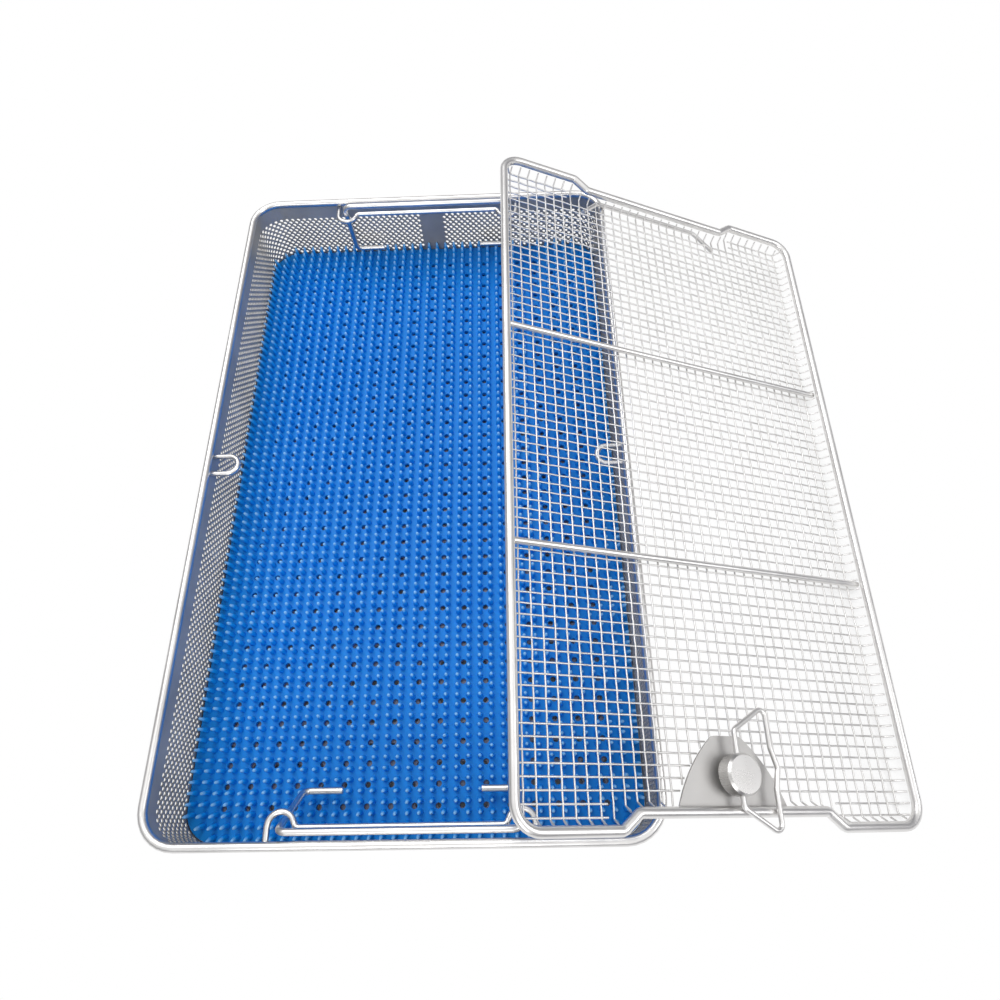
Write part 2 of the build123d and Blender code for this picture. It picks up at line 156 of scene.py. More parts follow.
class Graph:
    """Adds nodes to a shader or geometry tree."""

    def __init__(self, tree: bpy.types.NodeTree) -> None:
        """Take an empty tree.

        Args:
            tree: The node tree to fill.
        """
        self.tree = tree

    def node(self, kind: str, settings: Optional[dict[str, Any]] = None,
             inputs: Optional[dict[Union[str, int], Any]] = None) -> bpy.types.Node:
        """Add one node.

        Args:
            kind: The node's type name.
            settings: Properties of the node, set before its inputs.
            inputs: Values, or values linked from other nodes, by socket name or number.

        Returns:
            The new node.
        """
        made = self.tree.nodes.new(kind)
        for name, setting in (settings or {}).items():
            if name == "stops":
                self._set_stops(made, setting)
            else:
                setattr(made, name, setting)
        for name, given in (inputs or {}).items():
            socket = made.inputs[name]
            if isinstance(given, Value):
                self.tree.links.new(given.socket, socket)
            else:
                socket.default_value = given
        return made

    @staticmethod
    def _set_stops(ramp: bpy.types.Node, stops: Sequence[tuple[float, Sequence[float]]]) -> None:
        """Give a colour ramp its stops.

        Args:
            ramp: The colour ramp node.
            stops: Each stop's place and colour.
        """
        elements = ramp.color_ramp.elements
        while len(elements) < len(stops):
            elements.new(0.5)
        for element, (place, colour) in zip(elements, stops):
            element.position = place
            element.color = (*colour, 1.0)

    def out(self, node: bpy.types.Node, name: Union[str, int] = 0) -> Value:
        """Read one output of a node.

        Args:
            node: The node.
            name: The output's name or number.

        Returns:
            The output as a value.
        """
        return Value(self, node.outputs[name])

    def maths(self, operation: Maths, *operands: Operand) -> Value:
        """Add a Math node.

        Args:
            operation: What the node does.
            operands: Its inputs in order.

        Returns:
            The result.
        """
        inputs = dict(enumerate(operands))
        return self.out(self.node("ShaderNodeMath", {"operation": operation.value}, inputs))

    def split(self, vector: Value) -> tuple[Value, Value, Value]:
        """Take a vector apart.

        Args:
            vector: The vector.

        Returns:
            Its three parts.
        """
        node = self.node("ShaderNodeSeparateXYZ", inputs={0: vector})
        return self.out(node, 0), self.out(node, 1), self.out(node, 2)

    def join(self, x: Operand, y: Operand, z: Operand) -> Value:
        """Put a vector together.

        Args:
            x: First part.
            y: Second part.
            z: Third part.

        Returns:
            The vector.
        """
        return self.out(self.node("ShaderNodeCombineXYZ", inputs={0: x, 1: y, 2: z}))

    def noise(self, vector: Value, scale: float, detail: float = 2.0) -> Value:
        """Add a noise pattern.

        Args:
            vector: Where the pattern is read.
            scale: How fine it is, per metre.
            detail: How many finer layers it has.

        Returns:
            The pattern, from 0 to 1.
        """
        node = self.node("ShaderNodeTexNoise", inputs={
            "Vector": vector, "Scale": scale, "Detail": detail})
        return self.out(node, 0)


class Shader(Graph):
    """A material's node tree, with the calls every finish needs."""

    def __init__(self, name: str) -> None:
        """Make a material with an empty tree.

        Args:
            name: The material's name.
        """
        self.material = bpy.data.materials.new(name)
        self.material.use_nodes = True
        self.material.node_tree.nodes.clear()
        super().__init__(self.material.node_tree)

    def place(self) -> Value:
        """Coordinates in metres on the object."""
        return self.out(self.node("ShaderNodeTexCoord"), "Object")

    def stretched(self, scale: Point) -> Value:
        """Object coordinates scaled differently each way.

        Args:
            scale: Factor along each axis.

        Returns:
            The scaled coordinates.
        """
        return self.out(self.node("ShaderNodeMapping", inputs={
            "Vector": self.place(), "Scale": scale}))

    def ramp(self, factor: Value, stops: Sequence[tuple[float, Sequence[float]]]) -> Value:
        """Colour that follows a value.

        Args:
            factor: The value, from 0 to 1.
            stops: Each stop's place and colour.

        Returns:
            The colour.
        """
        return self.out(self.node("ShaderNodeValToRGB", {"stops": stops}, {0: factor}))

    def bump(self, height: Value, strength: float, distance: float) -> Value:
        """Turn a height into a surface normal.

        Args:
            height: The height pattern.
            strength: How much of it shows.
            distance: Its depth in metres.

        Returns:
            The normal.
        """
        return self.out(self.node("ShaderNodeBump", inputs={
            "Strength": strength, "Distance": distance, "Height": height}))

    def finish(self, inputs: dict[str, Any]) -> bpy.types.Material:
        """Add the surface and the output.

        Args:
            inputs: What the Principled shader is given.

        Returns:
            The finished material.
        """
        surface = self.out(self.node("ShaderNodeBsdfPrincipled", inputs=inputs))
        self.node("ShaderNodeOutputMaterial", inputs={"Surface": surface})
        return self.material


@dataclass(frozen=True)
class Steel:
    """Stainless steel, polished or brushed."""

    name: str
    dark: Point
    light: Point
    roughness: float
    unevenness: float
    metallic: float = 1.0
    grain: Point = (260.0, 260.0, 260.0)
    bump_depth: float = 0.00002
    bump_strength: float = 0.15

    def make(self) -> bpy.types.Material:
        """Build the material.

        Returns:
            Metal whose colour and gloss vary a little over the surface.
        """
        shader = Shader(self.name)
        cloud = shader.noise(shader.place(), 38.0)
        grain = shader.noise(shader.stretched(self.grain), 1.0, 3.0)
        return shader.finish({
            "Base Color": shader.ramp(cloud, [(0.3, self.dark), (0.7, self.light)]),
            "Metallic": self.metallic,
            "Roughness": self.roughness + self.unevenness * (cloud + grain - 1.0),
            "Normal": shader.bump(grain, self.bump_strength, self.bump_depth)})


@dataclass(frozen=True)
class Silicone:
    """Blue silicone, with painted shade low in the sheet and a painted highlight on the finger tips.
    """

    name: str
    # The three colours below step from painted shade low in the sheet to a painted highlight on the
    # finger tips.
    painted_shade_low: Point = (0.006, 0.27, 0.78)
    middle: Point = (0.008, 0.33, 0.88)
    tip: Point = (0.28, 0.60, 1.0)
    sheet_height: float = 3.5 * MM
    tip_height: float = 11.2 * MM

    def make(self) -> bpy.types.Material:
        """Build the material.

        Returns:
            Soft plastic coloured by height, that colour being painted shade low in the sheet and a
            painted highlight at the tips, with a fine matt skin.
        """
        shader = Shader(self.name)
        _, _, height = shader.split(shader.place())
        cloud = shader.noise(shader.place(), 22.0)
        skin = shader.noise(shader.place(), 1400.0, 3.0)
        # The height colour is painted light: painted shade low between the fingers and a painted
        # highlight on the finger tips; the cloud adds a random tone.
        share = (height - self.sheet_height) / (self.tip_height - self.sheet_height)
        return shader.finish({
            "Base Color": shader.ramp(share + 0.12 * (cloud - 0.5), [
                (0.0, self.painted_shade_low), (0.6, self.middle), (0.97, self.tip)]),
            "Roughness": 0.42 + 0.15 * (skin - 0.5),
            "Specular IOR Level": 0.2,
            "Normal": shader.bump(skin, 0.12, 0.00004)})


@dataclass(frozen=True)
class Ground:
    """The white ground, which shows white to the eye and keeps a soft shadow."""

    name: str
    shade_reach: float = 50.0 * MM
    shaded: float = 0.12
    clear: float = 0.5

    def make(self) -> bpy.types.Material:
        """Build the material.

        Returns:
            White that glows in part for what looks at it, and only reflects for the rest.
        """
        shader = Shader(self.name)
        path = shader.node("ShaderNodeLightPath")
        seen = shader.maths(Maths.MAXIMUM, shader.out(path, "Is Camera Ray"),
                            shader.maths(Maths.MAXIMUM, shader.out(path, "Is Glossy Ray"),
                                         shader.out(path, "Is Transmission Ray")))
        white = shader.out(shader.node("ShaderNodeBsdfDiffuse", inputs={
            "Color": (0.82, 0.82, 0.82, 1.0)}))
        glow = shader.out(shader.node("ShaderNodeEmission", inputs={
            "Color": (1.0, 1.0, 1.0, 1.0), "Strength": 1.0}))
        open_sky = shader.out(shader.node("ShaderNodeAmbientOcclusion", {"samples": 8}, {
            "Distance": self.shade_reach}), "AO")
        lit = shader.maths(Maths.MINIMUM, shader.maths(
            Maths.MAXIMUM, (open_sky - self.shaded) / (self.clear - self.shaded), 0.0), 1.0)
        mixed = shader.out(shader.node("ShaderNodeMixShader", inputs={
            0: seen * lit, 1: white, 2: glow}))
        shader.node("ShaderNodeOutputMaterial", inputs={"Surface": mixed})
        return shader.material


FINISHES: dict[Material, Union[Steel, Silicone, Ground]] = {
    Material.WIRE: Steel("polished_wire", (0.66, 0.65, 0.64), (0.80, 0.79, 0.78), 0.30, 0.06),
    Material.FRAME: Steel("lid_frame_wire", (0.72, 0.71, 0.70), (0.84, 0.83, 0.82), 0.32, 0.06),
    Material.WEAVE: Steel("woven_wire", (0.70, 0.69, 0.68), (0.82, 0.81, 0.80), 0.38, 0.06, 1.0),
    Material.WALL: Steel("perforated_wall", (0.35, 0.33, 0.30), (0.47, 0.45, 0.42), 0.38, 0.08,
                         0.3),
    # The floor steel is made near black and bluish: painted shade, standing for the shade under the
    # mat that shows through the drain holes.
    Material.FLOOR: Steel("perforated_floor_painted_shade", (0.12, 0.13, 0.17), (0.18, 0.19, 0.23), 0.5, 0.08,
                          0.8),
    Material.PLATE: Steel("satin_plate", (0.50, 0.49, 0.48), (0.58, 0.57, 0.56), 0.54, 0.08,
                          1.0, (90.0, 2600.0, 90.0), 0.00003, 0.25),
    Material.LATCH: Steel("turned_latch", (0.52, 0.51, 0.50), (0.62, 0.61, 0.60), 0.28, 0.08,
                          1.0, (90.0, 2600.0, 90.0), 0.00003, 0.2),
    Material.SILICONE: Silicone("blue_silicone"),
    Material.GROUND: Ground("white_ground"),
}
MADE: dict[Material, bpy.types.Material] = {}


def finish_of(kind: Material) -> bpy.types.Material:
    """Build a finish once and hand it out.

    Args:
        kind: Which finish.

    Returns:
        Its material.
    """
    if kind not in MADE:
        MADE[kind] = FINISHES[kind].make()
    return MADE[kind]


def plain_mesh(name: str, points: Sequence[Sequence[float]],
               faces: Sequence[Sequence[int]] = (),
               edges: Sequence[Sequence[int]] = ()) -> bpy.types.Object:
    """Make an object from points given in millimetres.

    Args:
        name: The object's name.
        points: Its corners.
        faces: Corner numbers of each face.
        edges: Corner numbers of each loose edge.

    Returns:
        The object, linked to the scene.
    """
    mesh = bpy.data.meshes.new(name)
    mesh.from_pydata([tuple(c * MM for c in p) for p in points], list(edges), list(faces))
    mesh.update()
    made = bpy.data.objects.new(name, mesh)
    bpy.context.scene.collection.objects.link(made)
    return made


def mark(piece: bpy.types.Object, name: str, values: Sequence[float]) -> None:
    """Store one number per corner of a mesh.

    Args:
        piece: The object.
        name: The attribute's name.
        values: One number for each corner.
    """
    stored = piece.data.attributes.new(name, "FLOAT", "POINT")
    stored.data.foreach_set("value", list(values))


class Growth(Graph):
    """A geometry node tree with named inputs, used once on a starting mesh."""

    def __init__(self, name: str, sizes: dict[str, float], counts: dict[str, int],
                 finish: Material) -> None:
        """Open the tree.

        Args:
            name: The tree's name.
            sizes: Named lengths in metres or plain factors.
            counts: Named whole numbers.
            finish: The material that the tree sets last.
        """
        super().__init__(bpy.data.node_groups.new(name, "GeometryNodeTree"))
        face = self.tree.interface
        face.new_socket("Geometry", in_out="INPUT", socket_type="NodeSocketGeometry")
        face.new_socket("Geometry", in_out="OUTPUT", socket_type="NodeSocketGeometry")
        self.given: dict[str, Union[float, int]] = {**sizes, **counts}
        for label in sizes:
            face.new_socket(label, in_out="INPUT", socket_type="NodeSocketFloat")
        for label in counts:
            face.new_socket(label, in_out="INPUT", socket_type="NodeSocketInt")
        self.source = self.tree.nodes.new("NodeGroupInput")
        self.finish = finish

    def start(self) -> Value:
        """The geometry that comes in."""
        return self.out(self.source, "Geometry")

    def size(self, label: str) -> Value:
        """One of the named inputs."""
        return self.out(self.source, label)

    def position(self) -> Value:
        """Where each point is."""
        return self.out(self.node("GeometryNodeInputPosition"))

    def number(self, name: str) -> Value:
        """A stored number on each point."""
        return self.out(self.node("GeometryNodeInputNamedAttribute", {"data_type": "FLOAT"},
                                  {"Name": name}), "Attribute")

    def vector(self, name: str) -> Value:
        """A stored vector on each point."""
        return self.out(self.node("GeometryNodeInputNamedAttribute",
                                  {"data_type": "FLOAT_VECTOR"}, {"Name": name}), "Attribute")

    def stored(self, geometry: Value, name: str, vector: Value) -> Value:
        """Store a vector on each point.

        Args:
            geometry: The geometry.
            name: The attribute's name.
            vector: What is stored.

        Returns:
            The geometry with the attribute.
        """
        return self.out(self.node("GeometryNodeStoreNamedAttribute",
                                  {"data_type": "FLOAT_VECTOR", "domain": "POINT"},
                                  {"Geometry": geometry, "Name": name, "Value": vector}))

    def moved(self, geometry: Value, position: Value) -> Value:
        """Put each point somewhere else.

        Args:
            geometry: The geometry.
            position: Where each point goes.

        Returns:
            The moved geometry.
        """
        return self.out(self.node("GeometryNodeSetPosition", inputs={
            "Geometry": geometry, "Position": position}))

    def grid(self, columns: Value, rows: Value, pitch_x: Operand, pitch_y: Operand) -> Value:
        """A grid of points about the origin.

        Args:
            columns: How many along X.
            rows: How many along Y.
            pitch_x: Step along X.
            pitch_y: Step along Y.

        Returns:
            The grid as a mesh.
        """
        return self.out(self.node("GeometryNodeMeshGrid", inputs={
            "Size X": (columns - 1) * pitch_x, "Size Y": (rows - 1) * pitch_y,
            "Vertices X": columns, "Vertices Y": rows}))

    def repeated(self, points: Value, item: Value) -> Value:
        """Put a copy of an item on each point and make the copies real.

        Args:
            points: Where the copies go.
            item: What is copied.

        Returns:
            One mesh.
        """
        copies = self.out(self.node("GeometryNodeInstanceOnPoints", inputs={
            "Points": points, "Instance": item}))
        return self.out(self.node("GeometryNodeRealizeInstances", inputs={"Geometry": copies}))

    def welded(self, geometry: Value, distance: float = 0.000008) -> Value:
        """Join points that meet.

        Args:
            geometry: The geometry.
            distance: How near they have to be, in metres.

        Returns:
            The joined geometry.
        """
        return self.out(self.node("GeometryNodeMergeByDistance", inputs={
            "Geometry": geometry, "Distance": distance}))

    def grown(self, piece: bpy.types.Object, geometry: Value) -> bpy.types.Object:
        """Close the tree, run it on a piece and keep the result as a plain mesh.

        Args:
            piece: The object that carries the starting mesh.
            geometry: The last geometry of the tree.

        Returns:
            The piece, with its new mesh and no modifier.
        """
        real = self.out(self.node("GeometryNodeRealizeInstances", inputs={"Geometry": geometry}))
        dressed = self.out(self.node("GeometryNodeSetMaterial", inputs={
            "Geometry": real, "Material": finish_of(self.finish)}))
        end = self.tree.nodes.new("NodeGroupOutput")
        self.tree.links.new(dressed.socket, end.inputs[0])
        modifier = piece.modifiers.new(self.tree.name, "NODES")
        modifier.node_group = self.tree
        for item in self.tree.interface.items_tree:
            if item.in_out == "INPUT" and item.name in self.given:
                modifier[item.identifier] = self.given[item.name]
        piece.update_tag()
        graph = bpy.context.evaluated_depsgraph_get()
        grown = bpy.data.meshes.new_from_object(piece.evaluated_get(graph), depsgraph=graph)
        piece.modifiers.clear()
        piece.data = grown
        piece.data.materials.clear()
        piece.data.materials.append(finish_of(self.finish))
        piece.data.polygons.foreach_set("material_index", [0] * len(piece.data.polygons))
        return piece


def cell(name: str, width: float, depth: float, sheet: float, hole: Sequence[Sequence[float]],
         edge: Sequence[Sequence[float]], upright: bool) -> bpy.types.Object:
    """One repeat of a pierced sheet.

    Args:
        name: The object's name.
        width: Repeat along the sheet.
        depth: Repeat across it.
        sheet: Thickness.
        hole: Corners of the hole, counter-clockwise.
        edge: Corners of the repeat as shares of its half sizes, counter-clockwise.
        upright: Whether the sheet stands in XZ, its thickness along Y, or lies in XY.

    Returns:
        The cell, with the number 1 stored on the hole's corners.
    """
    outer = [(width / 2 * x, depth / 2 * y) for x, y in edge]
    ring = [*outer, *hole]
    size = len(ring)
    flat = [(*p, sheet / 2) for p in ring] + [(*p, -sheet / 2) for p in ring]
    count, inner = len(outer), len(hole)
    faces: list[tuple[int, ...]] = []
    step, turn = 0, 0
    angles = [math.atan2(y, x) % (2 * math.pi) for x, y in outer]
    bores = [math.atan2(y, x) % (2 * math.pi) for x, y in hole]
    while step < count or turn < inner:
        a, b = step % count, turn % inner
        next_outer = angles[(step + 1) % count] + (2 * math.pi if step + 1 >= count else 0)
        next_inner = bores[(turn + 1) % inner] + (2 * math.pi if turn + 1 >= inner else 0)
        if turn >= inner or (step < count and next_outer <= next_inner):
            faces.append((a, (step + 1) % count, count + b))
            step += 1
        else:
            faces.append((a, count + (turn + 1) % inner, count + b))
            turn += 1
    back = [tuple(size + i for i in reversed(face)) for face in faces]
    wall = []
    for i in range(inner):
        a, b = count + i, count + (i + 1) % inner
        wall.append((a, b, size + b, size + a))
    points = [(x, -z, y) for x, y, z in flat] if upright else flat
    made = plain_mesh(name, points, faces + back + wall)
    mark(made, "hole", ([0.0] * count + [1.0] * inner) * 2)
    return made


STAGGERED_EDGE = ((1, -1), (1, 1), (0, 1), (-1, 1), (-1, -1), (0, -1))
SQUARE_EDGE = ((1, -1), (1, 0), (1, 1), (0, 1), (-1, 1), (-1, 0), (-1, -1), (0, -1))


def round_hole(radius: float, sides: int, turn: float = 0.0) -> list[tuple[float, float]]:
    """Corners of a hole, counter-clockwise.

    Args:
        radius: Its radius.
        sides: How many corners.
        turn: Angle of the first corner, in degrees.

    Returns:
        The corners.
    """
    return [(radius * math.cos(math.radians(turn + 360 * i / sides)),
             radius * math.sin(math.radians(turn + 360 * i / sides))) for i in range(sides)]


def rounded_outline(half_x: float, half_y: float, corner: float,
                    steps: int = 10) -> list[tuple[float, float]]:
    """Points round a rectangle with rounded corners, counter-clockwise.

    Args:
        half_x: Half its width.
        half_y: Half its length.
        corner: Corner radius.
        steps: Steps round each corner.

    Returns:
        The points.
    """
    points = []
    for quarter, (sx, sy) in enumerate(((1, 1), (-1, 1), (-1, -1), (1, -1))):
        for step in range(steps + 1):
            angle = math.radians(90 * (quarter + step / steps))
            points.append((sx * (half_x - corner) + corner * math.cos(angle),
                           sy * (half_y - corner) + corner * math.sin(angle)))
    return points


@dataclass
class Basket:
    """The perforated wall and floor of the basket."""

    half_width: float = 122.55
    half_length: float = 206.55
    corner: float = 17.8
    wall_sheet: float = 0.6
    sheet: float = 1.0
    floor_corner: float = 17.3
    height: float = 47.5
    foot: float = 4.2
    row_pitch: float = 2.35
    rows: int = 14
    columns: int = 306
    hole_radius: float = 1.3
    seam_x: float = 2.0
    seam_half: float = 8.2
    floor_half: tuple[float, float] = (122.05, 206.05)
    floor_cell: tuple[float, float] = (6.0, 3.4)
    floor_hole: float = 1.5

    def path(self, tree: Growth) -> Value:
        """Middle line of the wall as a curve.

        Args:
            tree: The tree it goes into.

        Returns:
            The curve.
        """
        line = tree.out(tree.node("GeometryNodeCurvePrimitiveQuadrilateral", inputs={
            "Width": 2 * self.half_width * MM, "Height": 2 * self.half_length * MM}))
        return tree.out(tree.node("GeometryNodeFilletCurve", {"mode": "POLY"}, {
            "Curve": line, "Count": 10, "Radius": self.corner * MM}))

    def wall(self) -> bpy.types.Object:
        """The pierced part of the wall, bent round the basket.

        Returns:
            The wall.
        """
        perimeter = 4 * (self.half_width + self.half_length - 2 * self.corner)
        perimeter += 2 * math.pi * self.corner
        pitch = perimeter / self.columns
        piece = cell("pierced_wall", pitch, self.row_pitch, self.wall_sheet,
                     round_hole(self.hole_radius, 6), STAGGERED_EDGE, True)
        tree = Growth("pierce_and_bend", {
            "Pitch": pitch * MM, "Row pitch": self.row_pitch * MM, "Foot": self.foot * MM,
            "Seam place": self.seam_x * MM, "Seam half": self.seam_half * MM},
            {"Columns": self.columns, "Rows": self.rows}, Material.WALL)
        columns, rows = tree.size("Columns"), tree.size("Rows")
        grid = tree.grid(columns, rows, tree.size("Pitch"), tree.size("Row pitch"))
        x, y, _ = tree.split(tree.position())
        row = tree.maths(Maths.ROUND, y / tree.size("Row pitch") + (rows - 1) / 2)
        along = x + (columns - 1) * tree.size("Pitch") / 2 + (row % 2) * tree.size("Pitch") / 2
        up = (row + 0.5) * tree.size("Row pitch") + tree.size("Foot")
        points = tree.moved(grid, tree.join(along, 0.0, up))
        sheet = tree.repeated(tree.stored(points, "middle", tree.position()), tree.start())
        path = self.path(tree)
        length = tree.out(tree.node("GeometryNodeCurveLength", inputs={"Curve": path}))
        scale = length / (columns * tree.size("Pitch"))
        middle_x, _, middle_z = tree.split(tree.vector("middle"))
        place_x, place_y, place_z = tree.split(tree.position())

        def sampled(distance: Value) -> tuple[Value, Value]:
            """Point and direction on the path at a distance along it."""
            node = tree.node("GeometryNodeSampleCurve", {"mode": "LENGTH"}, {
                "Curves": path, "Length": (distance * scale) % length})
            return tree.out(node, "Position"), tree.out(node, "Tangent")

        centre_x, centre_y, _ = tree.split(sampled(middle_x)[0])
        closed = (abs(centre_x - tree.size("Seam place")) < tree.size("Seam half")) * (centre_y > 0)
        shut = closed * tree.number("hole")
        along = place_x + (middle_x - place_x) * shut
        up = place_z + (middle_z - place_z) * shut
        spot, heading = sampled(along)
        spot_x, spot_y, _ = tree.split(spot)
        head_x, head_y, _ = tree.split(heading)
        bent = tree.moved(sheet, tree.join(spot_x + head_y * place_y,
                                           spot_y - head_x * place_y, up))
        return tree.grown(piece, tree.welded(bent))

    def bands(self) -> bpy.types.Object:
        """The plain bands at the top and the foot of the wall.

        Returns:
            The bands as one piece.
        """
        points: list[Point] = []
        faces: list[tuple[int, ...]] = []
        top = self.foot + self.rows * self.row_pitch
        for low, high in ((0.0, self.foot), (top, self.height)):
            outer, inner = (rounded_outline(self.half_width + side, self.half_length + side,
                                            self.corner + side, 12)
                            for side in (self.wall_sheet / 2, -self.wall_sheet / 2))
            start, count = len(points), len(outer)
            for z in (low, high):
                points += [(x, y, z) for x, y in outer]
                points += [(x, y, z) for x, y in inner]
            for i in range(count):
                j = (i + 1) % count
                a, b = start + i, start + j
                c, d = a + count, b + count
                e, f, g, h = a + 2 * count, b + 2 * count, c + 2 * count, d + 2 * count
                faces += [(a, b, f, e), (d, c, g, h), (e, f, h, g), (b, a, c, d)]
        made = plain_mesh("wall_bands", points, faces)
        made.data.materials.append(finish_of(Material.WALL))
        return made

    def floor(self) -> bpy.types.Object:
        """The pierced floor inside its plain border.

        Returns:
            The floor.
        """
        half_x, half_y = self.floor_half
        width, depth = self.floor_cell
        columns = int((2 * half_x - 10) / width)
        rows = int((2 * half_y - 10) / depth)
        piece = cell("pierced_floor", width, depth, self.sheet,
                     round_hole(self.floor_hole, 6), STAGGERED_EDGE, False)
        tree = Growth("pierce_floor", {"Pitch": width * MM, "Row pitch": depth * MM,
                                       "Middle": self.sheet / 2 * MM},
                      {"Columns": columns, "Rows": rows}, Material.FLOOR)
        grid = tree.grid(tree.size("Columns"), tree.size("Rows"),
                         tree.size("Pitch"), tree.size("Row pitch"))
        x, y, _ = tree.split(tree.position())
        row = tree.maths(Maths.ROUND, y / tree.size("Row pitch") + (tree.size("Rows") - 1) / 2)
        shift = ((row % 2) - 0.5) * tree.size("Pitch") / 2
        points = tree.moved(grid, tree.join(x + shift, y, tree.size("Middle")))
        made = tree.grown(piece, tree.welded(tree.repeated(points, tree.start())))
        inner = (columns * width / 2 - width / 4, rows * depth / 2)
        border = framed_sheet("floor_border", rounded_outline(half_x, half_y, self.floor_corner),
                              inner, 0.04, self.sheet - 0.04, Material.FLOOR)
        return joined(made, [border])

    def make(self) -> None:
        """Build the wall and the floor and hang them on the basket."""
        wall = joined(self.wall(), [self.bands()])
        wall.name = "wall_sheet"
        place(wall, "basket", "sheet", "side_wall")
        floor = self.floor()
        floor.name = "floor_plate"
        place(floor, "basket", "sheet", "floor_sheet")


def framed_sheet(name: str, outline: Sequence[Sequence[float]], inner: tuple[float, float],
                 bottom: float, top: float, finish: Material) -> bpy.types.Object:
    """A flat border between a rounded outline and a rectangle inside it.

    Args:
        name: The object's name.
        outline: The outer points, counter-clockwise, an equal number in each quarter.
        inner: Half sizes of the rectangle.
        bottom: Underside height.
        top: Top height.
        finish: Its material.

    Returns:
        The border.
    """
    count = len(outline)
    inside = [(max(-inner[0], min(inner[0], x * 2)), max(-inner[1], min(inner[1], y * 2)))
              for x, y in outline]
    points = [(x, y, z) for z in (bottom, top) for x, y in (*outline, *inside)]
    faces = []
    for i in range(count):
        j = (i + 1) % count
        a, b, c, d = i, j, count + i, count + j
        e, f, g, h = (k + 2 * count for k in (a, b, c, d))
        faces += [(a, b, f, e), (d, c, g, h), (e, f, h, g), (b, a, c, d)]
    made = plain_mesh(name, points, faces)
    made.data.materials.append(finish_of(finish))
    return made


def joined(piece: bpy.types.Object, others: Iterable[bpy.types.Object]) -> bpy.types.Object:
    """Join meshes into one piece.

    Args:
        piece: The one that stays.
        others: Those that are taken in.

    Returns:
        The joined piece.
    """
    with bpy.context.temp_override(active_object=piece, object=piece,
                                   selected_editable_objects=[piece, *others]):
        bpy.ops.object.join()
    return piece


def place(piece: bpy.types.Object, body: str, slot: str, *nodes: str) -> None:
    """Hang a finished piece on its body in the place of the solids it stands for.

    Args:
        piece: The piece.
        body: The body it moves with.
        slot: The material slot of the record; not used.
        nodes: The solids it replaces.
    """
    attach(piece, body)
    if nodes:
        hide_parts(*nodes)
    LOG.info("%s: %d faces on %s", piece.name, len(piece.data.polygons), body)


